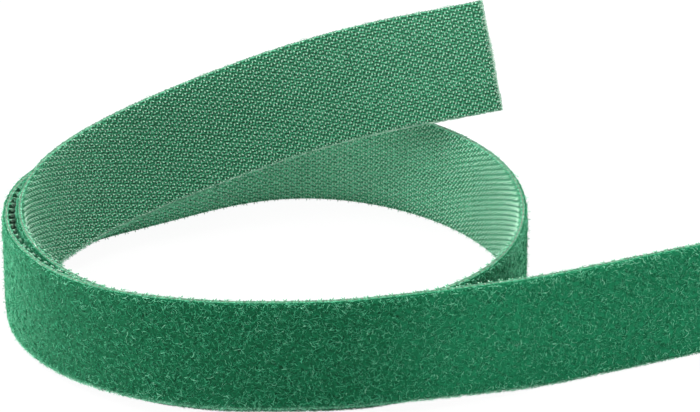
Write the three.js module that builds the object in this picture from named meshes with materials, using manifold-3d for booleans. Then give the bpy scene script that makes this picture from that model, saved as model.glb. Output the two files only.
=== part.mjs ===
import * as THREE from "three";
import Module from "manifold-3d";

// A loose length of hook and loop tape: two woven tapes joined back to back, standing on its lower edge.
// It starts at the straight tail, makes one and a bit turns to the left with the hooks inside,
// then leaves the turns, rises over them and ends in the air.
// Sizes are in millimetres, angles in degrees, +Z is up.
// The origin is on the ground, under the middle of the whole tape.

// The tape's section, from the loop face to the hook face
const TAPE_WIDTH = 25;
const PILE_HEIGHT = 0.75;
const LOOP_GROUND_THICKNESS = 0.25;
const LOOP_COAT_THICKNESS = 0.07;
const BOND_FILM_THICKNESS = 0.08;
const HOOK_COAT_THICKNESS = 0.07;
const HOOK_GROUND_THICKNESS = 0.27;
const HOOK_ROOT_THICKNESS = 0.1;
const HOOK_RISE = 0.8;
const SELVEDGE_WIDTH = 0.8;
const PILE_SHOULDER = 0.3;

// The hooks: bent filaments in rows, each row half a space on from the last and bent the other way.
// A hook stands a share of the way from one of the tape's sections to the next, clear of where facets meet.
const FILAMENT_DIAMETER = 0.2;
const HOOK_REACH = 0.42;
const HOOK_ROWS = 5;
const HOOK_PLACE_SHARE = 0.4;
const FILAMENT_SIDES = 3;
const HOOK_BEND_SHARES = [
  [0, 0.6],
  [0.45, 1],
  [1, 0.7],
];

// The turns: angles run from the front to the left, and the radius is given at every twelfth of a turn
const LOOP_RADIUS = 50;
const LOOP_RADIUS_SHARES = [
  0.785, 0.841, 0.959, 1.079, 1.062, 0.95, 1.041, 1.161, 1.24, 1.219, 1.084, 0.876,
];
const TURN_GAP = 1.06;
const TURNS_START = -33;
const TURNS_END = 402;

// The tail: its bend eases off, and it leans in to a flat end
const TAIL_LENGTH = 77.5;
const TAIL_EASE_LENGTH = 26;
const TAIL_FLAT_LENGTH = 30;
const TAIL_LEAN = 10.5;

// The front: the first turn leans in there and stands off the ground, held up by the hooks and pile
// that meet, so its upper edge hides that of the second turn, which leans alike.
// The lift and the leans come and go between two angles each.
const FRONT_LEAN = 5.4;
const FRONT_LIFT = 2.9;
const LIFT_END = [20, 100];
const FIRST_LEAN_END = [5, 60];
const SECOND_LEAN_START = [290, 335];
const SECOND_LEAN_END = [365, 415];

// The free stretch: its bends, climb and lean follow from places along it, as shares of the loop's radius
const FREE_LENGTH = 163.4;
const BEND_PLACE_SHARES = [0, 0.4, 0.8, 1.2, 1.6, 2.1, 2.6, 2.8, 3];
const BEND_SHARES = [1.105, 1.841, 1.592, 0.67, 0.497, 0.491, 0.554, 0];
const CLIMB_ANGLE = 17.9;
const CLIMB_START_SHARE = 0.2;
const CLIMB_EASE_SHARE = 2;
const FREE_LEAN = 14.5;
const LEAN_START_SHARE = 0.32;
const LEAN_EASE_SHARE = 1.7;
const END_SKEW = 3;

// How finely the route is worked out, and how far apart its sections stand
const ROUTE_STEP = 1;
const SECTION_STEP = 5;
const MEASURE_STEP = 1;
const SMALL_ANGLE = 0.01;

const UP = new THREE.Vector3(0, 0, 1);
const { clamp, lerp, smoothstep, degToRad: rad, radToDeg: degrees } = THREE.MathUtils;
const share = (value, start, length) => clamp((value - start) / length, 0, 1);

// The layers' faces, as distances from the plane halfway through the tape
const THICKNESSES = [
  PILE_HEIGHT,
  LOOP_GROUND_THICKNESS,
  LOOP_COAT_THICKNESS,
  BOND_FILM_THICKNESS,
  HOOK_COAT_THICKNESS,
  HOOK_GROUND_THICKNESS,
  HOOK_ROOT_THICKNESS,
  HOOK_RISE,
];
const TAPE_THICKNESS = THICKNESSES.reduce((sum, layer) => sum + layer, 0);
const FACES = THICKNESSES.reduce((faces, layer) => [...faces, faces.at(-1) + layer], [-TAPE_THICKNESS / 2]);
const [PILE_FACE, LOOP_FACE, LOOP_BACK, FILM_LOOP, FILM_HOOK, HOOK_BACK, HOOK_FACE, ROOT_FACE, HOOK_TIPS] =
  FACES;
const HALF_WIDTH = TAPE_WIDTH / 2;
const FIELD = HALF_WIDTH - SELVEDGE_WIDTH;

// The radius of the turns passes smoothly through the listed radii and winds in by one pitch a turn.
function loopPoint(angle) {
  const count = LOOP_RADIUS_SHARES.length;
  let radius = (-(TAPE_THICKNESS + TURN_GAP) * angle) / 360;
  LOOP_RADIUS_SHARES.forEach((radiusShare, i) => {
    const away = rad(angle - (360 * i) / count);
    let weight = 1 + Math.cos((count / 2) * away);
    for (let wave = 1; wave < count / 2; wave++) weight += 2 * Math.cos(wave * away);
    radius += (radiusShare * LOOP_RADIUS * weight) / count;
  });
  return new THREE.Vector2(-radius * Math.sin(rad(angle)), -radius * Math.cos(rad(angle)));
}

// The direction of travel at an angle, and how fast it turns to the right there.
function loopHeading(angle) {
  const chord = (at) => loopPoint(at + SMALL_ANGLE).sub(loopPoint(at - SMALL_ANGLE));
  const before = chord(angle - SMALL_ANGLE);
  const after = chord(angle + SMALL_ANGLE);
  const turned = Math.atan2(before.cross(after), before.dot(after));
  return { heading: chord(angle).angle(), bend: -turned / chord(angle).length() };
}

// Points one route step apart from a start, for a bend that changes with the distance gone.
function bentRoute(start, heading, length, bendAt) {
  const steps = Math.ceil(length / ROUTE_STEP);
  const step = length / steps;
  const points = [start];
  let course = heading;
  for (let i = 0; i < steps; i++) {
    const turned = bendAt((i + 0.5) * step) * step;
    const way = new THREE.Vector2(step, 0).rotateAround(new THREE.Vector2(), course - turned / 2);
    points.push(way.add(points.at(-1)));
    course -= turned;
  }
  return points;
}

// The angles of evenly spaced places beyond an end of the turns, as if the turns went on there.
function turnsBeyond(end, length, places) {
  const step = degrees(length / LOOP_RADIUS) / (places.length - 1);
  return places.map((place, i) => ({ place, turn: end + step * i }));
}

function tailRoute() {
  const { heading, bend } = loopHeading(TURNS_START);
  const backwards = (gone) => -bend * (1 - share(gone, 0, TAIL_EASE_LENGTH));
  const places = bentRoute(loopPoint(TURNS_START), heading + Math.PI, TAIL_LENGTH, backwards);
  return turnsBeyond(TURNS_START, -TAIL_LENGTH, places).reverse();
}

function turnsRoute() {
  const steps = Math.ceil((rad(TURNS_END - TURNS_START) * LOOP_RADIUS) / ROUTE_STEP);
  const at = (i) => lerp(TURNS_START, TURNS_END, i / steps);
  return Array.from({ length: steps + 1 }, (_, i) => ({ place: loopPoint(at(i)), turn: at(i) }));
}

function freeRoute() {
  const { heading, bend } = loopHeading(TURNS_END);
  const bends = [bend, ...BEND_SHARES.map((bendShare) => bendShare / LOOP_RADIUS)];
  const bendAt = (gone) => {
    const place = gone / LOOP_RADIUS;
    const next = BEND_PLACE_SHARES.findIndex((placeShare) => placeShare > place);
    if (next < 0) return bends.at(-1);
    const from = BEND_PLACE_SHARES[next - 1];
    return lerp(bends[next - 1], bends[next], (place - from) / (BEND_PLACE_SHARES[next] - from));
  };
  return turnsBeyond(TURNS_END, FREE_LENGTH, bentRoute(loopPoint(TURNS_END), heading, FREE_LENGTH, bendAt));
}

// The share of the front's lean at an angle: all along the tail, and again on the second turn.
function frontShare(turn) {
  const first = 1 - smoothstep(turn, ...FIRST_LEAN_END);
  const second = smoothstep(turn, ...SECOND_LEAN_START) * (1 - smoothstep(turn, ...SECOND_LEAN_END));
  return first + second;
}

// The route of the tape's middle: places in plan, with the distance gone, height and lean at each.
function tapeRoute() {
  const plan = [...tailRoute(), ...turnsRoute().slice(1), ...freeRoute().slice(1)];
  const route = [];
  let gone = 0;
  plan.forEach(({ place, turn }, i) => {
    if (i) gone += place.distanceTo(plan[i - 1].place);
    route.push({ place, turn, gone });
  });
  const leaves = gone - FREE_LENGTH;
  const climbStart = leaves + CLIMB_START_SHARE * LOOP_RADIUS;
  const leanStart = leaves + LEAN_START_SHARE * LOOP_RADIUS;
  const slope = (at) => Math.tan(rad(CLIMB_ANGLE) * share(at, climbStart, CLIMB_EASE_SHARE * LOOP_RADIUS));
  let rise = 0;
  route.forEach((point, i) => {
    const before = i ? route[i - 1].gone : 0;
    rise += (point.gone - before) * slope((point.gone + before) / 2);
    const offTail = smoothstep(point.gone, TAIL_FLAT_LENGTH, TAIL_LENGTH);
    const leaningOut = smoothstep(point.gone, leanStart, leanStart + LEAN_EASE_SHARE * LOOP_RADIUS);
    const leaningIn = TAIL_LEAN * (1 - offTail) + FRONT_LEAN * offTail * frontShare(point.turn);
    point.lean = rad(leaningIn - FREE_LEAN * leaningOut);
    const lift = FRONT_LIFT * offTail * (1 - smoothstep(point.turn, ...LIFT_END));
    const lowFace = point.lean > 0 ? HOOK_FACE : LOOP_FACE;
    point.height = rise + lift + HALF_WIDTH * Math.cos(point.lean) + lowFace * Math.sin(point.lean);
  });
  return route;
}

// A section's own directions: along the tape, across it towards its upper edge, and out of the hook face.
function sectionOn(route, gone) {
  const beyond = route.findIndex((point) => point.gone > gone);
  const next = beyond < 0 ? route.length - 1 : beyond;
  const [a, b] = [route[next - 1], route[next]];
  const part = share(gone, a.gone, b.gone - a.gone);
  const at = (point) => new THREE.Vector3(point.place.x, point.place.y, point.height);
  const before = at(route[Math.max(0, next - 2)]);
  const after = at(route[Math.min(route.length - 1, next + 1)]);
  const along = after.sub(before).normalize();
  const upright = UP.clone().addScaledVector(along, -UP.dot(along)).normalize();
  const inward = along.clone().cross(upright);
  const lean = lerp(a.lean, b.lean, part);
  const across = upright.multiplyScalar(Math.cos(lean)).addScaledVector(inward, Math.sin(lean));
  return { middle: at(a).lerp(at(b), part), along, across, out: along.clone().cross(across), skew: 0 };
}

// The point of a section at a place across the tape and a distance from the plane halfway through it.
function pointOf(section, across, out) {
  return section.middle
    .clone()
    .addScaledVector(section.across, across)
    .addScaledVector(section.out, out)
    .addScaledVector(section.along, across * section.skew);
}

function tapeSections(route, step) {
  const length = route.at(-1).gone;
  const count = Math.ceil(length / step);
  return Array.from({ length: count + 1 }, (_, i) => sectionOn(route, (length * i) / count));
}

// One layer: a closed outline of [across, out] points carried along the sections.
// Each strip is split from the lower edge of one section to the upper edge of the next,
// so that the faces of two layers that touch are the same triangles.
function layerGeometry(sections, outline) {
  const sides = outline.length;
  const corners = [];
  for (const section of sections) {
    for (const [across, out] of outline) corners.push(...pointOf(section, across, out).toArray());
  }
  const triangles = [];
  for (let i = 0; i + 1 < sections.length; i++) {
    for (let side = 0; side < sides; side++) {
      const next = (side + 1) % sides;
      const [a, b] = [i * sides + side, i * sides + next];
      const [c, d] = [a + sides, b + sides];
      if (outline[side][0] < outline[next][0]) triangles.push(a, b, d, a, d, c);
      else triangles.push(a, b, c, b, d, c);
    }
  }
  const last = (sections.length - 1) * sides;
  for (let side = 1; side + 1 < sides; side++) {
    triangles.push(0, side + 1, side, last, last + side, last + side + 1);
  }
  const geometry = new THREE.BufferGeometry();
  geometry.setAttribute("position", new THREE.Float32BufferAttribute(corners, 3));
  geometry.setIndex(triangles);
  return geometry;
}

// A layer as wide as the tape between two of its faces.
const fullWidth = (near, far) => [
  [-HALF_WIDTH, far],
  [-HALF_WIDTH, near],
  [HALF_WIDTH, near],
  [HALF_WIDTH, far],
];

// The ground weaves also carry the edges of the pile and of the hooks, which stop at the selvedges.
const LOOP_GROUND_OUTLINE = [
  [-HALF_WIDTH, LOOP_BACK],
  [-HALF_WIDTH, LOOP_FACE],
  [-FIELD, LOOP_FACE],
  [FIELD, LOOP_FACE],
  [HALF_WIDTH, LOOP_FACE],
  [HALF_WIDTH, LOOP_BACK],
];
const HOOK_GROUND_OUTLINE = [
  [-HALF_WIDTH, HOOK_BACK],
  [HALF_WIDTH, HOOK_BACK],
  [HALF_WIDTH, HOOK_FACE],
  [FIELD, HOOK_FACE],
  [-FIELD, HOOK_FACE],
  [-HALF_WIDTH, HOOK_FACE],
];
const PILE_OUTLINE = [
  [-FIELD, LOOP_FACE],
  [-FIELD + PILE_SHOULDER, PILE_FACE],
  [FIELD - PILE_SHOULDER, PILE_FACE],
  [FIELD, LOOP_FACE],
];
const HOOK_ROOT_OUTLINE = [
  [-FIELD, ROOT_FACE],
  [-FIELD, HOOK_FACE],
  [FIELD, HOOK_FACE],
  [FIELD, ROOT_FACE],
];

// The place on the face that the hooks stand on, found on the triangle that lies there.
function rootPlace(sections, first, across) {
  const along = HOOK_PLACE_SHARE;
  const up = share(across, -FIELD, 2 * FIELD);
  const corner = (section, side) => pointOf(section, side * FIELD, ROOT_FACE);
  const low = corner(sections[first], -1);
  const high = corner(sections[first + 1], 1);
  const third = along > up ? corner(sections[first + 1], -1) : corner(sections[first], 1);
  const most = Math.max(along, up);
  const least = Math.min(along, up);
  return low
    .multiplyScalar(1 - most)
    .addScaledVector(third, most - least)
    .addScaledVector(high, least);
}

// One hook: a filament that rises from within the root layer and bends over along the tape to its tip.
function hookCorners(sections, first, across, sense) {
  const base = rootPlace(sections, first, across);
  const frame = sections[first];
  const radius = FILAMENT_DIAMETER / 2;
  const spine = [
    [0, -HOOK_ROOT_THICKNESS / 2],
    ...HOOK_BEND_SHARES.map(([reach, rise]) => [reach * HOOK_REACH, rise * (HOOK_RISE - radius)]),
  ];
  const cornerAt = (aside, reach, rise) =>
    base
      .clone()
      .addScaledVector(frame.across, aside)
      .addScaledVector(frame.along, sense * reach)
      .addScaledVector(frame.out, rise);
  const corners = spine.slice(0, -1).flatMap(([reach, rise], i) => {
    const from = spine[Math.max(0, i - 1)];
    const to = spine[i + 1];
    const course = Math.atan2(to[1] - from[1], to[0] - from[0]);
    return Array.from({ length: FILAMENT_SIDES }, (_, side) => {
      const angle = (2 * Math.PI * side) / FILAMENT_SIDES;
      const bulge = radius * Math.cos(angle);
      const along = reach + bulge * Math.sin(course);
      return cornerAt(radius * Math.sin(angle), along, rise - bulge * Math.cos(course));
    });
  });
  return [...corners, cornerAt(0, ...spine.at(-1))];
}

// The triangles of one hook: its root, the strips between its rings, and the fan at its tip.
function hookTriangles(count) {
  const triangles = [];
  const tip = count - 1;
  const last = tip - FILAMENT_SIDES;
  for (let side = 0; side < FILAMENT_SIDES; side++) {
    const next = (side + 1) % FILAMENT_SIDES;
    if (side && next) triangles.push([0, next, side]);
    for (let ring = 0; ring < last; ring += FILAMENT_SIDES) {
      const above = ring + FILAMENT_SIDES;
      triangles.push([ring + side, ring + next, above + next], [ring + side, above + next, above + side]);
    }
    triangles.push([last + side, last + next, tip]);
  }
  return triangles;
}

function hooksGeometry(sections) {
  const corners = [];
  const triangles = [];
  for (let row = 0; row < HOOK_ROWS; row++) {
    const across = FIELD * ((2 * (row + 0.5)) / HOOK_ROWS - 1);
    const odd = row % 2 === 1;
    for (let first = odd ? 1 : 0; first + 1 < sections.length; first += 2) {
      const hook = hookCorners(sections, first, across, odd ? 1 : -1);
      for (const triangle of hookTriangles(hook.length)) {
        if (!odd) triangle.reverse();
        triangles.push(...triangle.map((corner) => corners.length + corner));
      }
      corners.push(...hook);
    }
  }
  const geometry = new THREE.BufferGeometry().setFromPoints(corners);
  geometry.setIndex(triangles);
  return geometry;
}

const wasm = await Module();
wasm.setup();

function solidOf(geometry) {
  return new wasm.Manifold(
    new wasm.Mesh({
      numProp: 3,
      vertProperties: Float32Array.from(geometry.getAttribute("position").array),
      triVerts: Uint32Array.from(geometry.getIndex().array),
    }),
  );
}

// The hooks joined to the thin layer that they are rooted in.
function hookLayerGeometry(sections) {
  const joined = solidOf(layerGeometry(sections, HOOK_ROOT_OUTLINE))
    .add(solidOf(hooksGeometry(sections)))
    .getMesh();
  const geometry = new THREE.BufferGeometry();
  geometry.setAttribute("position", new THREE.BufferAttribute(joined.vertProperties, joined.numProp));
  geometry.setIndex(new THREE.BufferAttribute(joined.triVerts, 1));
  return geometry;
}

// The least room between the hook tips of one turn and the pile of another, measured on points.
function leastGap(route) {
  const sections = tapeSections(route, MEASURE_STEP);
  const apart = Math.ceil((Math.PI * LOOP_RADIUS) / MEASURE_STEP);
  const places = [-1, -0.5, 0, 0.5, 1].map((acrossShare) => acrossShare * FIELD);
  const pile = sections.map((section) => places.map((across) => pointOf(section, across, PILE_FACE)));
  const tips = sections.map((section) => places.map((across) => pointOf(section, across, HOOK_TIPS)));
  let least = Infinity;
  tips.forEach((outer, i) => {
    pile.slice(i + apart).forEach((inner) => {
      for (const a of outer) {
        for (const b of inner) least = Math.min(least, a.distanceTo(b));
      }
    });
  });
  return least;
}

function material(name, color, roughness) {
  return new THREE.MeshStandardMaterial({ name, color, roughness, metalness: 0 });
}
const pileGreen = material("brushed green loop pile", "#2f8f5f", 0.95);
const groundGreen = material("woven green ground", "#1c6b44", 0.85);
const coatGreen = material("green back coat", "#3a7f5c", 0.6);
const filmClear = material("milky bonding film", "#cfdcd2", 0.4);
const hookGreen = material("pale green filament", "#7fc79d", 0.35);

function tapeLength(route) {
  const middles = tapeSections(route, MEASURE_STEP).map((section) => section.middle);
  return middles.reduce((sum, point, i) => sum + (i ? point.distanceTo(middles[i - 1]) : 0), 0);
}

const route = tapeRoute();
const sections = tapeSections(route, SECTION_STEP);
sections.at(-1).skew = Math.tan(rad(END_SKEW));
const layers = [
  ["loop_pile", layerGeometry(sections, PILE_OUTLINE), pileGreen],
  ["loop_ground", layerGeometry(sections, LOOP_GROUND_OUTLINE), groundGreen],
  ["loop_back_coat", layerGeometry(sections, fullWidth(LOOP_BACK, FILM_LOOP)), coatGreen],
  ["bond_film", layerGeometry(sections, fullWidth(FILM_LOOP, FILM_HOOK)), filmClear],
  ["hook_back_coat", layerGeometry(sections, fullWidth(FILM_HOOK, HOOK_BACK)), coatGreen],
  ["hook_ground", layerGeometry(sections, HOOK_GROUND_OUTLINE), groundGreen],
  ["hook_filaments", hookLayerGeometry(sections), hookGreen],
];

const tape = new THREE.Group();
const extent = new THREE.Box3();
for (const [name, geometry, finish] of layers) {
  const mesh = new THREE.Mesh(geometry, finish);
  mesh.name = name;
  tape.add(mesh);
  extent.expandByObject(mesh);
}
const middle = extent.getCenter(new THREE.Vector3());
tape.position.set(-middle.x, -middle.y, -extent.min.z);
const part = new THREE.Group().add(tape);
console.log(`length of the tape: ${tapeLength(route).toFixed(1)} mm`);
console.log(`least gap between turns: ${leastGap(route).toFixed(2)} mm`);

export default part;
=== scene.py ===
import math

import bpy
import numpy as np
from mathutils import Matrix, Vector


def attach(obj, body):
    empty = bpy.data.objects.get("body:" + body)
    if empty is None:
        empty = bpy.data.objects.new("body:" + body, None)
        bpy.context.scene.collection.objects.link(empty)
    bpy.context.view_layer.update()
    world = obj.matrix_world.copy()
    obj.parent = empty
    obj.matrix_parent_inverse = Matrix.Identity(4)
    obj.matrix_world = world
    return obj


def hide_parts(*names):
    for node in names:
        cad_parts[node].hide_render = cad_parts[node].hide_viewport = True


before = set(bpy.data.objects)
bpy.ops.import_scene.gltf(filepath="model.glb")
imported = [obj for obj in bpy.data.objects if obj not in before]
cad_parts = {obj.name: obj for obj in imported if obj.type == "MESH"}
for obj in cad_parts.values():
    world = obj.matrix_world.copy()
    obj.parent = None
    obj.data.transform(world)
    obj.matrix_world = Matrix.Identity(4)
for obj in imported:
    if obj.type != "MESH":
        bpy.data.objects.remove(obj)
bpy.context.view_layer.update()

mm = 0.001
chance = np.random.default_rng(11)

# The section and the route say what part.mjs says
tape = {
    "width": 25 * mm,
    "field": 11.7 * mm,  # half the width between the selvedges
    "loopFace": -0.445 * mm,
    "loopBack": -0.195 * mm,
    "filmLoop": -0.125 * mm,
    "filmHook": -0.045 * mm,
    "hookBack": 0.025 * mm,
    "hookFace": 0.295 * mm,
    "rootFace": 0.395 * mm,
    "hookTips": 1.195 * mm,
}
route = {
    "loopRadius": 50 * mm,
    "radiusShares": (0.785, 0.841, 0.959, 1.079, 1.062, 0.95, 1.041, 1.161, 1.24, 1.219, 1.084, 0.876),
    "pitch": 3.45 * mm,
    "turns": (-33, 402),
    "tailLength": 77.5 * mm,
    "tailEase": 26 * mm,
    "tailFlat": 30 * mm,
    "tailLean": 10.5,
    "frontLean": 5.4,
    "frontLift": 2.9 * mm,
    "liftEnd": (20, 100),
    "firstLeanEnd": (5, 60),
    "secondLean": (290, 335, 365, 415),
    "freeLength": 163.4 * mm,
    "bendPlaces": (0, 0.4, 0.8, 1.2, 1.6, 2.1, 2.6, 2.8, 3),
    "bends": (1.105, 1.841, 1.592, 0.67, 0.497, 0.491, 0.554, 0),
    "climb": 17.9,
    "climbStart": 0.2,
    "climbEase": 2,
    "freeLean": 14.5,
    "leanStart": 0.32,
    "leanEase": 1.7,
    "endSkew": 3,
    "endSkewLength": 5 * mm,
    "step": 1 * mm,
    "origin": (-21.914 * mm, -5.715 * mm, 0),  # from the turns' centre to the part's own origin
}


def loopPoint(angle):
    angle = np.asarray(angle, float)
    shares = route["radiusShares"]
    count = len(shares)
    radius = -route["pitch"] * angle / 360
    for i, share in enumerate(shares):
        away = np.radians(angle - 360 * i / count)
        weight = 1 + np.cos(count / 2 * away)
        for wave in range(1, count // 2):
            weight = weight + 2 * np.cos(wave * away)
        radius = radius + share * route["loopRadius"] * weight / count
    turn = np.radians(angle)
    return np.stack([-radius * np.sin(turn), -radius * np.cos(turn)], axis=-1)


def loopHeading(angle):
    small = 0.01

    def chord(at):
        return loopPoint(at + small) - loopPoint(at - small)

    before, after, here = chord(angle - small), chord(angle + small), chord(angle)
    turned = math.atan2(before[0] * after[1] - before[1] * after[0], before @ after)
    return math.atan2(here[1], here[0]), -turned / np.hypot(*here)


def bentRoute(start, heading, length, bendAt):
    steps = math.ceil(length / route["step"])
    step = length / steps
    turned = bendAt((np.arange(steps) + 0.5) * step) * step
    course = heading - np.cumsum(turned) + turned / 2
    ways = step * np.stack([np.cos(course), np.sin(course)], axis=1)
    return np.vstack([start, start + np.cumsum(ways, axis=0)])


def easing(value, start, end):
    part = np.clip((value - start) / (end - start), 0, 1)
    return part * part * (3 - 2 * part)


def unit(vectors):
    return vectors / np.linalg.norm(vectors, axis=-1, keepdims=True)


def tapeRoute():
    radius = route["loopRadius"]
    first, last = route["turns"]
    heading, bend = loopHeading(first)
    tail = bentRoute(
        loopPoint(first),
        heading + math.pi,
        route["tailLength"],
        lambda gone: -bend * (1 - np.clip(gone / route["tailEase"], 0, 1)),
    )[::-1]
    steps = math.ceil(math.radians(last - first) * radius / route["step"])
    angles = np.linspace(first, last, steps + 1)
    turns = loopPoint(angles)
    heading, bend = loopHeading(last)
    bends = [bend, *(share / radius for share in route["bends"])]
    free = bentRoute(
        loopPoint(last),
        heading,
        route["freeLength"],
        lambda gone: np.interp(gone / radius, route["bendPlaces"], bends),
    )
    plan = np.vstack([tail, turns[1:], free[1:]])
    steps = np.hypot(*np.diff(plan, axis=0).T)
    gone = np.concatenate([[0], np.cumsum(steps)])
    leaves = gone[-1] - route["freeLength"]
    between = (gone[1:] + gone[:-1]) / 2
    climbed = (between - leaves - route["climbStart"] * radius) / (route["climbEase"] * radius)
    slope = np.tan(math.radians(route["climb"]) * np.clip(climbed, 0, 1))
    rise = np.concatenate([[0], np.cumsum(steps * slope)])
    leanStart = leaves + route["leanStart"] * radius
    degrees = math.degrees(1 / radius)
    tailTurn = first + (gone[: len(tail)] - gone[len(tail) - 1]) * degrees
    freeTurn = last + (gone[-len(free) :] - leaves) * degrees
    turn = np.concatenate([tailTurn[:-1], angles, freeTurn[1:]])
    offTail = easing(gone, route["tailFlat"], route["tailLength"])
    leaningOut = easing(gone, leanStart, leanStart + route["leanEase"] * radius)
    second = route["secondLean"]
    front = 1 - easing(turn, *route["firstLeanEnd"])
    front = front + easing(turn, *second[:2]) * (1 - easing(turn, *second[2:]))
    leaningIn = route["tailLean"] * (1 - offTail) + route["frontLean"] * offTail * front
    lean = np.radians(leaningIn - route["freeLean"] * leaningOut)
    lift = route["frontLift"] * offTail * (1 - easing(turn, *route["liftEnd"]))
    lowFace = np.where(lean > 0, tape["hookFace"], tape["loopFace"])
    height = rise + lift + tape["width"] / 2 * np.cos(lean) + lowFace * np.sin(lean)
    middle = np.column_stack([plan, height]) + np.array(route["origin"])
    along = unit(np.gradient(middle, axis=0))
    upright = unit(np.array([0, 0, 1.0]) - along * along[:, 2:])
    inward = np.cross(along, upright)
    across = upright * np.cos(lean)[:, None] + inward * np.sin(lean)[:, None]
    gone = np.concatenate([[0], np.cumsum(np.linalg.norm(np.diff(middle, axis=0), axis=1))])
    return {"middle": middle, "along": along, "across": across, "gone": gone}


line = tapeRoute()
tapeLength = line["gone"][-1]


# Carries flat places onto the route. Between two points of the route the middle line is a smooth curve.
def laid(flat):
    flat = np.asarray(flat, float)
    gone = line["gone"]
    i = np.clip(np.searchsorted(gone, flat[:, 0], side="right") - 1, 0, len(gone) - 2)
    span = gone[i + 1] - gone[i]
    part = ((flat[:, 0] - gone[i]) / span)[:, None]
    span = span[:, None]
    a, b = line["middle"][i], line["middle"][i + 1]
    alongA, alongB = line["along"][i], line["along"][i + 1]
    middle = (
        a * (1 + 2 * part) * (1 - part) ** 2
        + alongA * span * part * (1 - part) ** 2
        + b * part**2 * (3 - 2 * part)
        + alongB * span * part**2 * (part - 1)
    )
    along = unit(alongA * (1 - part) + alongB * part)
    across = line["across"][i] * (1 - part) + line["across"][i + 1] * part
    across = unit(across - along * np.sum(across * along, axis=1, keepdims=True))
    out = np.cross(along, across)
    skewStart = tapeLength - route["endSkewLength"]
    skew = math.tan(math.radians(route["endSkew"])) * np.clip(
        (flat[:, 0] - skewStart) / route["endSkewLength"], 0, 1
    )
    return middle + across * flat[:, 1:2] + out * flat[:, 2:] + along * (flat[:, 1] * skew)[:, None]


def pointsOf(obj):
    points = np.empty(len(obj.data.vertices) * 3)
    obj.data.vertices.foreach_get("co", points)
    return points.reshape(-1, 3)


def giveAttribute(obj, name, values):
    kind, field = ("FLOAT", "value") if values.ndim == 1 else ("FLOAT_VECTOR", "vector")
    attribute = obj.data.attributes.new(name, kind, "POINT")
    attribute.data.foreach_set(field, np.ascontiguousarray(values, np.float32).ravel())


# Lays a flat piece on the route, keeps its flat places for the patterns, and finishes it.
def finishPiece(obj, finish, flat=None, smooth=True):
    flat = pointsOf(obj) if flat is None else flat
    obj.data.vertices.foreach_set("co", laid(flat).ravel())
    giveAttribute(obj, "flatPlace", flat)
    obj.data.materials.clear()
    obj.data.materials.append(finish)
    if smooth:
        obj.data.shade_smooth()
    obj.data.update()
    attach(obj, "root")
    return obj


def meshPiece(name, points, faces):
    mesh = bpy.data.meshes.new(name)
    mesh.from_pydata(points.tolist(), [], [f for group in faces for f in group.tolist()])
    obj = bpy.data.objects.new(name, mesh)
    bpy.context.scene.collection.objects.link(obj)
    return obj


# A closed flat strip between two distances from the middle plane, as a grid given its thickness.
def flatStrip(name, halfWidth, near, far, alongStep, acrossStep, inset=0):
    bpy.ops.object.select_all(action="DESELECT")
    bpy.ops.mesh.primitive_grid_add(
        x_subdivisions=round(tapeLength / alongStep),
        y_subdivisions=max(2, round(2 * halfWidth / acrossStep)),
        size=1,
    )
    obj = bpy.context.object
    obj.name = obj.data.name = name
    obj.scale = (tapeLength - 2 * inset, 2 * halfWidth, 1)
    obj.location = (tapeLength / 2, 0, far)
    bpy.ops.object.transform_apply(location=True, rotation=False, scale=True)
    thick = obj.modifiers.new("thickness", "SOLIDIFY")
    thick.thickness = far - near
    thick.offset = -1
    bpy.ops.object.modifier_apply(modifier=thick.name)
    return obj


# Copies of a small shape at flat places: each row of places is (along, across, out, turn, size).
def copiesOf(shape, places):
    points = pointsOf(shape)
    count = len(points)
    turn, size = places[:, 3:4], places[:, 4:5]
    x = (points[:, 0] * np.cos(turn) - points[:, 1] * np.sin(turn)) * size
    y = (points[:, 0] * np.sin(turn) + points[:, 1] * np.cos(turn)) * size
    z = points[:, 2] * size
    flat = np.stack([x + places[:, 0:1], y + places[:, 1:2], z + places[:, 2:3]], axis=2).reshape(-1, 3)
    faces = []
    for corners in sorted({len(p.vertices) for p in shape.data.polygons}):
        group = np.array([list(p.vertices) for p in shape.data.polygons if len(p.vertices) == corners])
        shifts = (np.arange(len(places)) * count)[:, None, None]
        faces.append((group[None] + shifts).reshape(-1, corners))
    return flat, faces


# The ground weave's rows, and its floats along each row, as counted in the photo
weave = {"rowPitch": 0.725 * mm, "floatPitch": 1.65 * mm}


# Finishes
def toLinear(hexColour):
    parts = [int(hexColour[i : i + 2], 16) / 255 for i in (1, 3, 5)]
    return [c / 12.92 if c <= 0.04045 else ((c + 0.055) / 1.055) ** 2.4 for c in parts] + [1.0]


def addNode(tree, kind, settings=None, links=None):
    node = tree.nodes.new(kind)
    for name, value in (settings or {}).items():
        if isinstance(name, int) or name in node.inputs:
            node.inputs[name].default_value = value
        else:
            setattr(node, name, value)
    for name, source in (links or {}).items():
        tree.links.new(source, node.inputs[name])
    return node


def newFinish(name):
    finish = bpy.data.materials.new(name)
    finish.use_nodes = True
    finish.node_tree.nodes.clear()
    return finish, finish.node_tree


def colourRamp(tree, source, stops):
    ramp = addNode(tree, "ShaderNodeValToRGB", {}, {"Fac": source})
    elements = ramp.color_ramp.elements
    while len(elements) < len(stops):
        elements.new(0.5)
    for element, (place, hexColour) in zip(elements, stops):
        element.position = place
        element.color = toLinear(hexColour)
    return ramp.outputs["Color"]


def closeFinish(tree, settings, links):
    shader = addNode(tree, "ShaderNodeBsdfPrincipled", settings, links)
    addNode(tree, "ShaderNodeOutputMaterial", {}, {"Surface": shader.outputs["BSDF"]})


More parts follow.
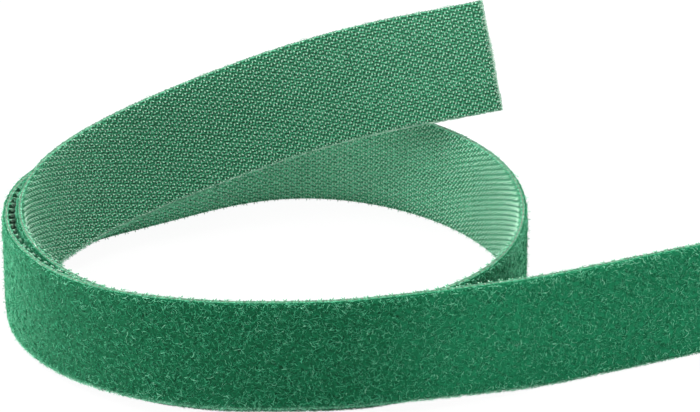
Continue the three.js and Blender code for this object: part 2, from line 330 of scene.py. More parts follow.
# Brushed nylon pile: fine loops torn up into a soft nap, dull, with a pale bloom where it is seen edge on.
# The ridges of two noises draw more strands between the modelled ones. A real filament is some 0.03 mm
# thick, and these are drawn about 0.2 mm wide, so that they show.
def brushedNylon():
    finish, tree = newFinish("brushedNylonPile")
    place = addNode(tree, "ShaderNodeAttribute", {"attribute_name": "flatPlace"}).outputs["Vector"]
    tone = addNode(tree, "ShaderNodeAttribute", {"attribute_name": "tone"}).outputs["Fac"]

    def ridge(scale, turn):
        turned = addNode(tree, "ShaderNodeMapping", {"Rotation": (0, 0, turn)}, {"Vector": place}).outputs[0]
        noise = addNode(tree, "ShaderNodeTexNoise", {"Scale": scale, "Detail": 1}, {"Vector": turned})
        away = addNode(tree, "ShaderNodeMath", {"operation": "SUBTRACT", 1: 0.5}, {0: noise.outputs["Fac"]})
        away = addNode(tree, "ShaderNodeMath", {"operation": "ABSOLUTE"}, {0: away.outputs[0]})
        sharp = addNode(
            tree, "ShaderNodeMath", {"operation": "MULTIPLY_ADD", 1: -9, 2: 1}, {0: away.outputs[0]}
        )
        return sharp.outputs[0]

    strands = addNode(
        tree, "ShaderNodeMath", {"operation": "MAXIMUM"}, {0: ridge(1500, 0), 1: ridge(1150, 1.1)}
    )
    strands = addNode(tree, "ShaderNodeClamp", {}, {"Value": strands.outputs[0]}).outputs[0]
    shade = addNode(tree, "ShaderNodeMath", {"operation": "MULTIPLY_ADD", 1: 0.2}, {0: strands, 2: tone})
    colour = colourRamp(
        tree,
        shade.outputs[0],
        [(0.05, "#00321b"), (0.3, "#045635"), (0.55, "#11714a"), (0.8, "#3da077"), (1.0, "#92d6b6")],
    )
    closeFinish(
        tree,
        {
            "Roughness": 0.9,
            "IOR": 1.53,
            "Specular IOR Level": 0.12,
            "Sheen Weight": 1.0,
            "Sheen Roughness": 0.4,
            "Sheen Tint": toLinear("#7fdfb2"),
        },
        {"Base Color": colour},
    )
    return finish


# Woven nylon ground: flat yarns that float over one another in slanting rows, silky, with a painted highlight
# on the float tops and painted shade between them
def wovenNylon():
    finish, tree = newFinish("wovenNylonGround")
    place = addNode(tree, "ShaderNodeAttribute", {"attribute_name": "flatPlace"}).outputs["Vector"]
    split = addNode(tree, "ShaderNodeSeparateXYZ", {}, {"Vector": place})
    fuzz = addNode(tree, "ShaderNodeTexNoise", {"Scale": 2200, "Detail": 2}, {"Vector": place}).outputs["Fac"]

    def wave(alongPitch, acrossPitch):
        along = addNode(
            tree,
            "ShaderNodeMath",
            {"operation": "MULTIPLY", 1: 2 * math.pi / alongPitch},
            {0: split.outputs["X"]},
        )
        both = addNode(
            tree,
            "ShaderNodeMath",
            {"operation": "MULTIPLY_ADD", 1: 2 * math.pi / acrossPitch},
            {0: split.outputs["Y"], 2: along.outputs[0]},
        )
        return addNode(tree, "ShaderNodeMath", {"operation": "COSINE"}, {0: both.outputs[0]}).outputs[0]

    rows = wave(1000, weave["rowPitch"])
    floats = wave(weave["floatPitch"], weave["rowPitch"])
    cross = wave(weave["floatPitch"] / 2, -2 * weave["rowPitch"])
    sums = addNode(tree, "ShaderNodeMath", {"operation": "ADD"}, {0: rows, 1: floats})
    sums = addNode(
        tree, "ShaderNodeMath", {"operation": "MULTIPLY_ADD", 1: 0.8}, {0: cross, 2: sums.outputs[0]}
    )
    height = addNode(
        tree, "ShaderNodeMath", {"operation": "MULTIPLY_ADD", 1: 0.14}, {0: sums.outputs[0], 2: fuzz}
    )
    tone = addNode(tree, "ShaderNodeAttribute", {"attribute_name": "tone"}).outputs["Fac"]
    shade = addNode(tree, "ShaderNodeMath", {"operation": "ADD"}, {0: height.outputs[0], 1: tone})
    # Colour by the weave's height: painted shade in the low places between the yarns, painted highlight on
    # the float tops.
    colour = colourRamp(
        tree,
        shade.outputs[0],
        [(0.22, "#003f24"), (0.44, "#126442"), (0.64, "#2f8d65"), (0.86, "#67bd96")],
    )
    bump = addNode(
        tree, "ShaderNodeBump", {"Strength": 0.7, "Distance": 0.12 * mm}, {"Height": height.outputs[0]}
    )
    closeFinish(
        tree,
        {
            "Roughness": 0.5,
            "IOR": 1.53,
            "Specular IOR Level": 0.35,
            "Sheen Weight": 0.15,
            "Sheen Roughness": 0.4,
            "Sheen Tint": toLinear("#8fe0bb"),
        },
        {"Base Color": colour, "Normal": bump.outputs["Normal"]},
    )
    return finish


# Nylon monofilament: heat set and milky, with a gloss that glints. Its colour runs from green at the root, a
# painted reflection of the green ground around it, to pale at the cut tips, partly its own milky colour and
# partly a painted glint.
def monofilament():
    finish, tree = newFinish("nylonMonofilament")
    rise = addNode(tree, "ShaderNodeAttribute", {"attribute_name": "rise"}).outputs["Fac"]
    # green at the root as painted reflection, pale at the tips partly as painted glint
    colour = colourRamp(tree, rise, [(0.02, "#248358"), (0.4, "#6cbd92"), (0.85, "#c8e8d5")])
    closeFinish(tree, {"Roughness": 0.3, "IOR": 1.53, "Specular IOR Level": 0.3}, {"Base Color": colour})
    return finish


# Textured nylon yarn, as in the selvedges and the frayed ends: bulky, silky, green where it is bundled
# and nearly clear where its filaments part
def texturedYarn():
    finish, tree = newFinish("texturedNylonYarn")
    tone = addNode(tree, "ShaderNodeAttribute", {"attribute_name": "tone"}).outputs["Fac"]
    colour = colourRamp(
        tree, tone, [(0.1, "#0f5c3b"), (0.45, "#3d9a71"), (0.75, "#93c9ad"), (1.0, "#dfe9dd")]
    )
    closeFinish(tree, {"Roughness": 0.5, "IOR": 1.53, "Sheen Weight": 0.2}, {"Base Color": colour})
    return finish


# Acrylic back coat: a thin dried resin, satin and slightly uneven
def resinCoat():
    finish, tree = newFinish("acrylicBackCoat")
    place = addNode(tree, "ShaderNodeAttribute", {"attribute_name": "flatPlace"}).outputs["Vector"]
    blotch = addNode(tree, "ShaderNodeTexNoise", {"Scale": 700, "Detail": 2}, {"Vector": place})
    colour = colourRamp(tree, blotch.outputs["Fac"], [(0.35, "#2c5b44"), (0.65, "#4a7a60")])
    closeFinish(tree, {"Roughness": 0.5, "IOR": 1.49}, {"Base Color": colour})
    return finish


# Hot-melt film: the milky adhesive that joins the two tapes, seen only as a line along the edges. Its colour
# is darkened to a brownish grey as painted shade, for the shaded line along the edges.
def meltFilm():
    finish, tree = newFinish("hotMeltFilm")
    place = addNode(tree, "ShaderNodeAttribute", {"attribute_name": "flatPlace"}).outputs["Vector"]
    blotch = addNode(tree, "ShaderNodeTexNoise", {"Scale": 500, "Detail": 2}, {"Vector": place})
    # darkened as painted shade
    colour = colourRamp(tree, blotch.outputs["Fac"], [(0.35, "#524c40"), (0.65, "#938d79")])
    closeFinish(tree, {"Roughness": 0.45, "IOR": 1.48}, {"Base Color": colour})
    return finish


pileFinish, groundFinish, hookFinish, yarnFinish, coatFinish, filmFinish = (
    brushedNylon(), wovenNylon(), monofilament(), texturedYarn(), resinCoat(), meltFilm()
)

# The two woven grounds, with their back coats and the film between them
ground = {
    "alongStep": 1.7 * mm,
    "ribDepth": 0.07 * mm,
    "edgeInset": 0.12 * mm,
    # painted light: a paler tone along the back of the ring
    "paintedLightBack": {"tone": 0.3, "rising": (195 * mm, 235 * mm), "falling": (270 * mm, 325 * mm)},
}


def groundStrip(name, near, far, outwards):
    halfWidth = tape["width"] / 2 - ground["edgeInset"]
    acrossStep = weave["rowPitch"] * (0.5 if outwards > 0 else 1)
    obj = flatStrip(name, halfWidth, near, far, ground["alongStep"], acrossStep)
    flat = pointsOf(obj)
    face = far if outwards > 0 else near
    onFace = np.abs(flat[:, 2] - face) < 0.01 * mm
    ribs = np.cos(2 * math.pi * flat[:, 1] / weave["rowPitch"])
    flat[:, 2] -= onFace * outwards * ground["ribDepth"] * (0.5 - 0.5 * ribs)
    return obj, flat


# The hook side is painted paler at the back of the ring as painted light, to match the photograph, because no
# light that was tried made it so. It isn't a known property of the tape, and a tone of 0 takes it away.
def paintedLightBack(x):
    pale = ground["paintedLightBack"]
    return pale["tone"] * easing(x, *pale["rising"]) * (1 - easing(x, *pale["falling"]))


loopGround, flat = groundStrip("loopGround", tape["loopFace"], tape["loopBack"], -1)
finishPiece(loopGround, groundFinish, flat)
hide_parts("loop_ground")
hookGround, flat = groundStrip("hookGround", tape["hookBack"], tape["rootFace"], 1)
finishPiece(hookGround, groundFinish, flat)
# The hook ground's tone is only the painted light at the back of the ring.
giveAttribute(hookGround, "tone", paintedLightBack(flat[:, 0]))
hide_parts("hook_ground")

thin = {"inset": 0.1 * mm, "alongStep": 1 * mm, "acrossStep": 12.4 * mm}
for name, near, far, finish, slot, node in (
    ("loopBackCoat", "loopBack", "filmLoop", coatFinish, "back_coat", "loop_back_coat"),
    ("bondFilm", "filmLoop", "filmHook", filmFinish, "bond_film", "bond_film"),
    ("hookBackCoat", "filmHook", "hookBack", coatFinish, "back_coat", "hook_back_coat"),
):
    halfWidth = tape["width"] / 2 - thin["inset"]
    obj = flatStrip(
        name, halfWidth, tape[near], tape[far], thin["alongStep"], thin["acrossStep"], inset=thin["inset"]
    )
    finishPiece(obj, finish)
    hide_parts(node)
print("grounds, coats and film laid")

# The pile: a felted layer, the strands of its nap bent over on it, finer hairs that stand out of it,
# and upright hairs that show where the pile is seen edge on, which are painted pale as painted sheen.
# All are thicker and fewer than real filaments.
pile = {
    "step": 0.75 * mm,
    "feltHeight": 0.42 * mm,
    "bump": 0.12 * mm,
    "bumpSize": 1.5 * mm,
    "bumpTone": 0.06,
    "shoulder": 0.35 * mm,
    "spread": 12.45 * mm,
    "overhang": 0.35 * mm,
    "underTop": 0.45 * mm,  # how much further the strands keep from the top edge than from the lower one
    "thickness": (0.7, 1.25),
    "feltTone": 0.1,
    # painted light: strands paler towards both long edges, for fuzz lit from below and seen edge on
    "paintedEdgeLight": {"tone": 0.16, "from": 10 * mm, "to": 12.3 * mm},
    "paleTail": {"tone": 0.2, "from": 50 * mm, "to": 85 * mm, "felt": 1.1, "strands": 0.25},
    "layers": {
        "pileNap": {
            "parts": 4,
            "count": 11000,
            "steps": 3,
            "radius": 0.07 * mm,
            "lengths": (0.9 * mm, 2 * mm),
            "rise": (0.36 * mm, 0.66 * mm),
            "curl": 1,
            "tone": 0.4,
            "toneSpread": 0.13,
        },
        "pileHairs": {
            "parts": 2,
            "count": 7500,
            "steps": 4,
            "radius": 0.042 * mm,
            "lengths": (1.1 * mm, 2.4 * mm),
            "rise": (0.55 * mm, 0.85 * mm),
            "curl": 0.8,
            "tone": 0.58,
            "toneSpread": 0.12,
        },
        "pileSheenHairs": {
            "parts": 1,
            "count": 7000,
            "steps": 3,
            "radius": 0.032 * mm,
            "lengths": (0.3 * mm, 0.7 * mm),
            "rise": (0.8 * mm, 1.35 * mm),
            "curl": 0.6,
            # painted sheen: a pale tone for the upright hairs
            "tone": 0.7,
            "toneSpread": 0.1,
        },
    },
}


# Smooth random heights on the flat tape, as a sum of waves with chance directions
def softNoise(x, y, size, waves=24):
    total = np.zeros_like(x)
    for _ in range(waves):
        turn, phase = chance.uniform(0, 2 * math.pi, 2)
        length = size * chance.uniform(0.7, 1.6)
        total += np.sin(2 * math.pi * (x * math.cos(turn) + y * math.sin(turn)) / length + phase)
    return total / math.sqrt(waves)


# The pile is painted paler along the tail to match the photograph. The cause isn't known.
def paleTail(x):
    pale = pile["paleTail"]
    return pale["tone"] * (1 - easing(x, pale["from"], pale["to"]))


halfWidth = tape["width"] / 2 - 0.2 * mm
feltFace = tape["loopFace"] - pile["feltHeight"]
pileFelt = flatStrip("pileFelt", halfWidth, feltFace, tape["loopFace"], pile["step"], pile["step"])
flat = pointsOf(pileFelt)
onFace = flat[:, 2] < tape["loopFace"] - 0.01 * mm
bumps = softNoise(flat[:, 0], flat[:, 1], pile["bumpSize"])
toEdge = np.minimum(
    halfWidth - np.abs(flat[:, 1]), np.minimum(flat[:, 0], tapeLength - flat[:, 0]) + 0.2 * mm
)
drop = pile["feltHeight"] * (1 - easing(toEdge, -0.5 * mm, pile["shoulder"]))
flat[:, 2] += onFace * (drop - pile["bump"] * bumps * easing(toEdge, 0, 1 * mm))
flat[:, 2] = np.where(onFace, np.minimum(flat[:, 2], tape["loopFace"] - 0.02 * mm), flat[:, 2])
feltTone = pile["feltTone"] + pile["bumpTone"] * bumps + pile["paleTail"]["felt"] * paleTail(flat[:, 0])
feltTone = np.clip(feltTone, 0, 0.45)
finishPiece(pileFelt, pileFinish, flat)
giveAttribute(pileFelt, "tone", feltTone)
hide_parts("loop_pile")


# Paths of loose fibres: each rises out of the felt, bends over and goes back in
def fibrePaths(x, y, rise, lengths, heading=None, curl=0.75, steps=4):
    count = len(x)
    heading = chance.uniform(0, 2 * math.pi, count) if heading is None else heading
    bend = chance.normal(0, curl, count)
    heights = np.sin(np.linspace(0.2, math.pi - 0.2, steps + 1)) ** 0.6
    points = np.zeros((count, steps + 1, 3))
    points[:, 0, 0], points[:, 0, 1] = x, y
    for i in range(steps):
        step = lengths / steps
        course = heading + bend * i + chance.normal(0, 0.3, count)
        points[:, i + 1, 0] = points[:, i, 0] + step * np.cos(course)
        points[:, i + 1, 1] = points[:, i, 1] + step * np.sin(course)
    points[:, :, 2] = rise[:, None] * (heights + chance.normal(0, 0.08, (count, steps + 1)))
    return points


# Thin tubes of three sides along paths, pointed at both ends
def tubes(points, radius):
    count, along, _ = points.shape
    way = unit(np.gradient(points, axis=1))
    side = unit(np.cross(way, np.array([0, 0, 1.0])))
    up = np.cross(side, way)
    sides = 3
    rings = []
    for k in range(sides):
        turn = 2 * math.pi * k / sides
        outwards = (side * math.cos(turn) + up * math.sin(turn))[:, 1:-1]
        rings.append(points[:, 1:-1] + radius[:, None, None] * outwards)
    ringPoints = np.stack(rings, axis=2).reshape(count, -1, 3)
    allPoints = np.concatenate([points[:, :1], ringPoints, points[:, -1:]], axis=1)
    perTube = allPoints.shape[1]
    triangles, quads = [], []
    lastRing = along - 3
    for k in range(sides):
        n = (k + 1) % sides
        triangles.append((0, 1 + n, 1 + k))
        triangles.append((perTube - 1, 1 + lastRing * sides + k, 1 + lastRing * sides + n))
        for ring in range(lastRing):
            a = 1 + ring * sides
            quads.append((a + k, a + n, a + sides + n, a + sides + k))
    shifts = (np.arange(count) * perTube)[:, None, None]
    return (
        allPoints.reshape(-1, 3),
        [(np.array(g)[None] + shifts).reshape(-1, len(g[0])) for g in (triangles, quads)],
        perTube,
    )


# Loose strands lie down on the ground where they reach it, none below it
fibreRest = 0.15 * mm


def yarnPiece(name, points, radius, tone, finish):
    flat, faces, perTube = tubes(points, radius)
    obj = meshPiece(name, flat, faces)
    finishPiece(obj, finish, flat)
    points = pointsOf(obj)
    low = np.minimum(points[:, 2], fibreRest)
    points[:, 2] += fibreRest * np.exp((low - fibreRest) / mm) - low
    obj.data.vertices.foreach_set("co", points.ravel())
    giveAttribute(obj, "tone", np.repeat(np.clip(tone, 0, 1), perTube))
    return obj


def fibreLayer(name, layer, first, last):
    count = layer["count"]
    x = chance.uniform(tapeLength * first, tapeLength * last, count)
    y = chance.uniform(-pile["spread"], pile["spread"], count)
    rise, lengths = chance.uniform(*layer["rise"], count), chance.uniform(*layer["lengths"], count)
    points = fibrePaths(x, y, rise, lengths, curl=layer["curl"], steps=layer["steps"])
    points[:, :, 0] = np.clip(points[:, :, 0], 0, tapeLength)
    over = np.abs(points[:, :, 1]) - tape["field"]
    points[:, :, 2] = tape["loopFace"] - points[:, :, 2] + 0.25 * np.clip(over, 0, 1 * mm)
    limit = tape["width"] / 2 + chance.uniform(-0.1 * mm, pile["overhang"], (count, 1))
    points[:, :, 1] = np.clip(points[:, :, 1], -limit, limit - pile["underTop"])
    radius = layer["radius"] * chance.uniform(*pile["thickness"], count)
    edge = pile["paintedEdgeLight"]
    tones = chance.normal(layer["tone"], layer["toneSpread"], count)
    tones = tones + pile["paleTail"]["strands"] * paleTail(x)
    # Strands near the long edges are painted paler as painted light.
    tones += edge["tone"] * easing(np.abs(y), edge["from"], edge["to"])
    return yarnPiece(name, points, radius, tones, pileFinish)


# Strands of the outermost loops, which fall over the rims, and reach less far over the top one
rimTopGap = 0.4 * mm


def rimStrands(name, layer):
    count = layer["count"]
    x = chance.uniform(layer["from"], layer["to"], count)
    edge = np.where(chance.uniform(0, 1, count) < layer["shareBelow"], -1, 1)
    part = np.linspace(0, 1, layer["steps"] + 1)
    points = np.zeros((count, layer["steps"] + 1, 3))
    aside = chance.normal(0, layer["aside"], (count, 1))
    points[:, :, 0] = x[:, None] + aside * part + chance.normal(0, 0.06, points.shape[:2]) * mm
    reach = chance.uniform(*layer["reach"], (count, 1)) - rimTopGap * (edge[:, None] > 0)
    points[:, :, 1] = edge[:, None] * (tape["width"] / 2 - 0.5 * mm + reach * np.sin(part * math.pi * 0.6))
    start = tape["loopFace"] - chance.uniform(0.25 * mm, 0.5 * mm, (count, 1))
    points[:, :, 2] = start + (chance.uniform(*layer["ends"], (count, 1)) - start) * part**1.5
    points[:, :, 0] = np.clip(points[:, :, 0], 0, tapeLength)
    radius = layer["radius"] * chance.uniform(*pile["thickness"], count)
    tones = chance.normal(layer["tone"], layer["toneSpread"], count)
    return yarnPiece(name, points, radius, tones, pileFinish)


# The fringe and tangle strands below the lower rim are given pale tones as painted light, for fuzz lit from
# below and behind.
rims = {
    "pileRim": {
        "count": 6500,
        "from": 0,
        "to": tapeLength,
        "shareBelow": 0.6,
        "steps": 3,
        "radius": 0.07 * mm,
        "aside": 0.5 * mm,
        "reach": (0.5 * mm, 0.85 * mm),
        "ends": (-0.3 * mm, 0.05 * mm),
        "tone": 0.42,
        "toneSpread": 0.14,
    },
    "pileFringe": {
        "count": 6500,
        "from": 0,
        "to": tapeLength,
        "shareBelow": 1,
        "steps": 3,
        "radius": 0.045 * mm,
        "aside": 0.6 * mm,
        "reach": (0.5 * mm, 0.9 * mm),
        "ends": (-1.1 * mm, -0.4 * mm),
        # painted light: a pale tone
        "tone": 0.85,
        "toneSpread": 0.1,
    },
    "pileTangle": {
        "count": 5000,
        "from": 440 * mm,
        "to": 545 * mm,
        "shareBelow": 1,
        "steps": 3,
        "radius": 0.05 * mm,
        "aside": 0.9 * mm,
        "reach": (0.8 * mm, 1.9 * mm),
        "ends": (-0.7 * mm, 0.6 * mm),
        # painted light: the palest tone
        "tone": 1,
        "toneSpread": 0.08,
    },
}
pileFibres = [rimStrands(name, layer) for name, layer in rims.items()]
for name, layer in pile["layers"].items():
    for i in range(layer["parts"]):
        share = (i / layer["parts"], (i + 1) / layer["parts"])
        pileFibres.append(fibreLayer(f"{name}{i + 1}", layer, *share))
print("pile laid")

# The selvedges: at both edges of both tapes the weft turns back round the last warp yarn in small loops
selvedge = {
    "pitch": 0.73 * mm,
    "radius": 0.07 * mm,
    "path": ((-0.24, -0.55), (-0.22, -0.12), (0, 0), (0.22, -0.12), (0.24, -0.55)),
    "turned": (0, 0.6, 1, 0.6, 0),
    "over": 0.02 * mm,
}


def selvedgeYarns(name, face, back, tone, toneSpread):
    path = np.array(selvedge["path"]) * mm
    turned = np.array(selvedge["turned"])
    middle = (face + back) / 2
    start = face + math.copysign(selvedge["over"], face - back)
    groups = []
    for edge in (-1, 1):
        x = np.arange(0.4 * mm, tapeLength - 0.3 * mm, selvedge["pitch"])
        count = len(x)
        points = np.zeros((count, len(path), 3))
        size = chance.uniform(0.85, 1.1, (count, 1))
        points[:, :, 0] = x[:, None] + chance.normal(0, 0.05, (count, 1)) * mm + path[:, 0] * size
        reach = tape["width"] / 2 + chance.normal(-0.02, 0.05, (count, 1)) * mm
        points[:, :, 1] = edge * (reach + path[:, 1] * size)
        points[:, :, 2] = start + (middle - start) * turned
        groups.append(points)
    points = np.concatenate(groups)
    count = len(points)
    radius = selvedge["radius"] * chance.uniform(0.85, 1.1, count)
    return yarnPiece(name, points, radius, chance.normal(tone, toneSpread, count), yarnFinish)


loopSelvedge = selvedgeYarns("loopSelvedge", tape["loopFace"], tape["loopBack"], 0.1, 0.12)
hookSelvedge = selvedgeYarns("hookSelvedge", tape["hookFace"], tape["hookBack"], 0.2, 0.15)

# Loose filaments: lint along the edges, thickest under the free end, and yarn ends at both cuts
lint = {
    "count": 3000,
    "shareBelow": 0.85,
    "shareOfLength": 0.3,
    "turnSpread": 0.35,
    "inset": 0.12 * mm,
    "radius": 0.05 * mm,
    "lengths": (1 * mm, 3 * mm),
    "rise": (0.08 * mm, 0.4 * mm),
}
count = lint["count"]
below = chance.uniform(0, 1, count) < lint["shareBelow"]
underEnd = tapeLength - chance.uniform(0, lint["shareOfLength"], count) * tapeLength
x = np.where(below, underEnd, chance.uniform(0, tapeLength, count))
edge = np.where(below | (chance.uniform(0, 1, count) < 0.5), -1, 1)
heading = np.where(chance.uniform(0, 1, count) < 0.5, 0, math.pi)
heading = heading + chance.normal(0, lint["turnSpread"], count)
rise, lengths = chance.uniform(*lint["rise"], count), chance.uniform(*lint["lengths"], count)
paths = fibrePaths(x, np.zeros(count), rise, lengths, heading, curl=0.2)
aside = paths[:, :, 1] * 0.4 + chance.uniform(tape["loopFace"], tape["rootFace"], count)[:, None]
paths[:, :, 1] = edge[:, None] * (tape["width"] / 2 - lint["inset"] + paths[:, :, 2])
paths[:, :, 2] = np.clip(aside, -0.8 * mm, 0.8 * mm)
paths[:, :, 0] = np.clip(paths[:, :, 0], 0, tapeLength)
radius, tones = np.full(count, lint["radius"]), chance.normal(0.7, 0.15, count)
edgeLint = yarnPiece("edgeLint", paths, radius, tones, yarnFinish)

frayed = {"points": 6, "radius": 0.06 * mm, "inside": 0.6 * mm, "wander": 0.07, "middle": 4 * mm}


def frayedEnd(name, place, outwards, count, reach):
    y = chance.uniform(-0.98, 0.98, count) * tape["width"] / 2
    middling = np.exp(-((y / frayed["middle"]) ** 2))
    length = reach * chance.uniform(0.15, 0.7, count) * (1 + 1.2 * middling)
    shape = (count, frayed["points"])
    steps = np.linspace(0, 1, frayed["points"])
    points = np.zeros((*shape, 3))
    points[:, :, 0] = place + outwards * (-frayed["inside"] + (frayed["inside"] + length[:, None]) * steps)
    points[:, :, 1] = y[:, None] + np.cumsum(chance.normal(0, frayed["wander"], shape), axis=1) * mm
    deep = chance.uniform(tape["loopFace"], tape["rootFace"], count)[:, None]
    points[:, :, 2] = deep + np.cumsum(chance.normal(0, frayed["wander"], shape), axis=1) * mm
    radius, tones = np.full(count, frayed["radius"]), chance.normal(0.85, 0.12, count)
    return yarnPiece(name, points, radius, tones, yarnFinish)


frayedTail = frayedEnd("frayedTailEnd", 0, -1, 400, 0.3 * mm)
frayedFree = frayedEnd("frayedFreeEnd", tapeLength, 1, 600, 0.5 * mm)
print("selvedges and frayed ends set")

# The hooks: one filament bent over, with the leg that it was cut from, and copies of both in rows.
# The two splay apart, every second row is set off by half a pitch, and the top row leans over its edge.
hooks = {
    "rows": 39,
    "rowPitch": 0.645 * mm,
    "pitch": 2.48 * mm,
    "radius": 0.115 * mm,
    "legHeight": 0.66 * mm,
    "archRadius": 0.13 * mm,
    "archTurn": 205,
    "archSteps": 3,
    "rootDepth": 0.1 * mm,
    "cutLegAt": 0.26 * mm,
    "cutLegHeight": 0.76 * mm,
    "cutLegLean": 0.15 * mm,
    "splay": 0.25 * mm,
    "edgeRowsAt": (-12.05 * mm, 12.36 * mm),
    "edgeLean": 0.12,
    "startAt": 0.2 * mm,
    "rowStarts": (0.02, 0.5),  # in shares of the pitch, for every other row
    "scatter": 0.04,
    "twist": 0.12,
    "sizes": (0.9, 1.0),
    # how much of the painted light at the back of the ring the hooks take
    "paintedLightShare": 0.8,
    "parts": 3,
}


def bentHook():
    depth = hooks["rootDepth"]
    bpy.ops.object.select_all(action="DESELECT")
    bpy.ops.mesh.primitive_circle_add(
        vertices=4, radius=hooks["radius"], fill_type="NGON", location=(0, 0, -depth)
    )
    obj = bpy.context.object
    bpy.ops.object.transform_apply(location=True, rotation=False, scale=False)
    bpy.ops.object.mode_set(mode="EDIT")
    bpy.ops.mesh.select_all(action="SELECT")
    bpy.ops.mesh.extrude_region_move(TRANSFORM_OT_translate={"value": (0, 0, depth + hooks["legHeight"])})
    bpy.ops.mesh.spin(
        steps=hooks["archSteps"],
        angle=math.radians(hooks["archTurn"]),
        center=(0, -hooks["archRadius"], hooks["legHeight"]),
        axis=(1, 0, 0),
    )
    bpy.ops.mesh.select_all(action="DESELECT")
    bpy.ops.mesh.primitive_circle_add(
        vertices=4, radius=hooks["radius"], fill_type="NGON", location=(hooks["cutLegAt"], 0, -depth)
    )
    bpy.ops.mesh.extrude_region_move(TRANSFORM_OT_translate={"value": (0, 0, depth + hooks["cutLegHeight"])})
    bpy.ops.mesh.select_all(action="SELECT")
    bpy.ops.mesh.normals_make_consistent(inside=False)
    bpy.ops.object.mode_set(mode="OBJECT")
    points = pointsOf(obj)
    risen = np.maximum(points[:, 2], 0) / hooks["legHeight"]
    onCutLeg = points[:, 0] > hooks["cutLegAt"] / 2
    points[:, 0] += np.where(onCutLeg, 1, -1) * hooks["splay"] * risen
    points[:, 1] -= onCutLeg * hooks["cutLegLean"] * risen
    obj.data.vertices.foreach_set("co", points.ravel())
    return obj


hookShape = bentHook()
shapePoints = pointsOf(hookShape)
print("hook shape", len(shapePoints), "points,", shapePoints.min(axis=0) / mm, shapePoints.max(axis=0) / mm)
hookRows, hookCount = [], 0
perRow = int(tapeLength / hooks["pitch"]) + 1
for i in range(hooks["parts"]):
    places = []
    for row in range(hooks["rows"]):
        across = hooks["rowPitch"] * (row - (hooks["rows"] - 1) / 2)
        if row in (0, hooks["rows"] - 1):
            across = hooks["edgeRowsAt"][row > 0]
        first, last = (perRow * i) // hooks["parts"], (perRow * (i + 1)) // hooks["parts"]
        along = (np.arange(first, last) + hooks["rowStarts"][row % 2]) * hooks["pitch"] + hooks["startAt"]
        along = along[along < tapeLength - hooks["startAt"]]
        places.append(np.column_stack([along, np.full(len(along), across)]))
    places = np.vstack(places)
    count = len(places)
    hookCount += count
    places += chance.normal(0, hooks["scatter"], (count, 2)) * mm
    places = np.column_stack(
        [
            places,
            np.full(count, tape["rootFace"]),
            chance.normal(0, hooks["twist"], count),
            chance.uniform(*hooks["sizes"], count),
        ]
    )
    flat, faces = copiesOf(hookShape, places)
    flat[:, 0] = np.clip(flat[:, 0], 0, tapeLength)
    root = np.repeat(places[:, 1], len(shapePoints))
    onEdge = root > hooks["rowPitch"] * (hooks["rows"] - 2) / 2
    flat[:, 1] += onEdge * hooks["edgeLean"] * (flat[:, 2] - tape["rootFace"])
    obj = meshPiece(f"hookRows{i + 1}", flat, faces)
    finishPiece(obj, hookFinish, flat)
    rise = (flat[:, 2] - tape["rootFace"]) / (tape["hookTips"] - tape["rootFace"])
    # The hooks are painted paler along the back of the ring as painted light, on top of their tone by height.
    giveAttribute(obj, "rise", rise + hooks["paintedLightShare"] * paintedLightBack(flat[:, 0]))
    hookRows.append(obj)
bpy.data.objects.remove(hookShape)
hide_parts("hook_filaments")
print("hooks set:", hookCount)

# The room: a light table, white all over, that takes a faint shadow, a white surround, and soft lamps
room = {"floorShade": 0.05, "worldLight": 0.4}


# The rays that see the room itself: straight on, in a reflection or through a clear piece
def directRays(tree):
    path = addNode(tree, "ShaderNodeLightPath").outputs
    direct = addNode(
        tree, "ShaderNodeMath", {"operation": "MAXIMUM"}, {0: path["Is Camera Ray"], 1: path["Is Glossy Ray"]}
    )
    direct = addNode(
        tree,
        "ShaderNodeMath",
        {"operation": "MAXIMUM"},
        {0: direct.outputs[0], 1: path["Is Transmission Ray"]},
    )
    return direct.outputs[0]


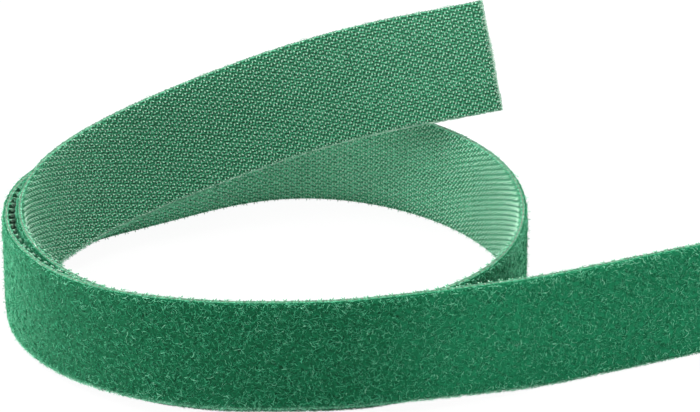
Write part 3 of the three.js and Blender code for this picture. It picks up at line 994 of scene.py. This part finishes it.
bpy.ops.object.select_all(action="DESELECT")
bpy.ops.mesh.primitive_plane_add(size=8, location=(0, 0, 0))
floor = bpy.context.object
floor.name = "floor"
finish, tree = newFinish("lightTable")
paper = addNode(tree, "ShaderNodeBsdfDiffuse", {"Color": toLinear("#f4f4f4")})
glow = addNode(tree, "ShaderNodeEmission", {"Color": (1, 1, 1, 1), "Strength": 1.0})
glowShare = addNode(
    tree, "ShaderNodeMath", {"operation": "MULTIPLY", 1: 1 - room["floorShade"]}, {0: directRays(tree)}
)
mix = addNode(
    tree, "ShaderNodeMixShader", {}, {0: glowShare.outputs[0], 1: paper.outputs[0], 2: glow.outputs[0]}
)
addNode(tree, "ShaderNodeOutputMaterial", {}, {"Surface": mix.outputs[0]})
floor.data.materials.append(finish)

world = bpy.data.worlds.new("whiteRoom")
bpy.context.scene.world = world
world.use_nodes = True
tree = world.node_tree
tree.nodes.clear()
strength = addNode(
    tree,
    "ShaderNodeMath",
    {"operation": "MULTIPLY_ADD", 1: 1 - room["worldLight"], 2: room["worldLight"]},
    {0: directRays(tree)},
)
light = addNode(
    tree, "ShaderNodeBackground", {"Color": (1, 1, 1, 1)}, {"Strength": strength.outputs[0]}
)
addNode(tree, "ShaderNodeOutputWorld", {}, {"Surface": light.outputs[0]})


def softLamp(name, place, aim, size, power):
    data = bpy.data.lights.new(name, "AREA")
    data.shape = "DISK"
    data.size = size
    data.energy = power
    lamp = bpy.data.objects.new(name, data)
    bpy.context.scene.collection.objects.link(lamp)
    lamp.location = place
    lamp.rotation_euler = (Vector(aim) - Vector(place)).to_track_quat("-Z", "Y").to_euler()


lamps = {
    "lampAbove": ((-0.2, 0.1, 1.3), 1.0, 22),
    "lampLeft": ((-1.4, -0.15, 0.6), 0.9, 24),
    "lampRight": ((1.4, -0.15, 0.6), 0.9, 10),
    "lampBehindLeft": ((-1.0, 1.0, 0.7), 0.9, 9),
    "lampBehindRight": ((1.0, 1.0, 0.7), 0.9, 14),
}
for name, (place, size, power) in lamps.items():
    softLamp(name, place, (0, 0, 0.02), size, power)

# The camera stands where the photograph's stood
view = {
    "place": (-0.744 * mm, -811.91 * mm, 503.677 * mm),
    "pitch": 0.53264,
    "sensor": 36,
    "focalPixels": 4330.085,
    "imagePixels": 700,
}
camera = bpy.data.objects.new("camera", bpy.data.cameras.new("camera"))
bpy.context.scene.collection.objects.link(camera)
camera.location = view["place"]
camera.rotation_euler = (math.pi / 2 - view["pitch"], 0, 0)
camera.data.lens = view["focalPixels"] * view["sensor"] / view["imagePixels"]
camera.data.sensor_width = view["sensor"]
camera.data.clip_start, camera.data.clip_end = 0.01, 20
bpy.context.scene.camera = camera
bpy.context.scene.view_settings.view_transform = "Standard"
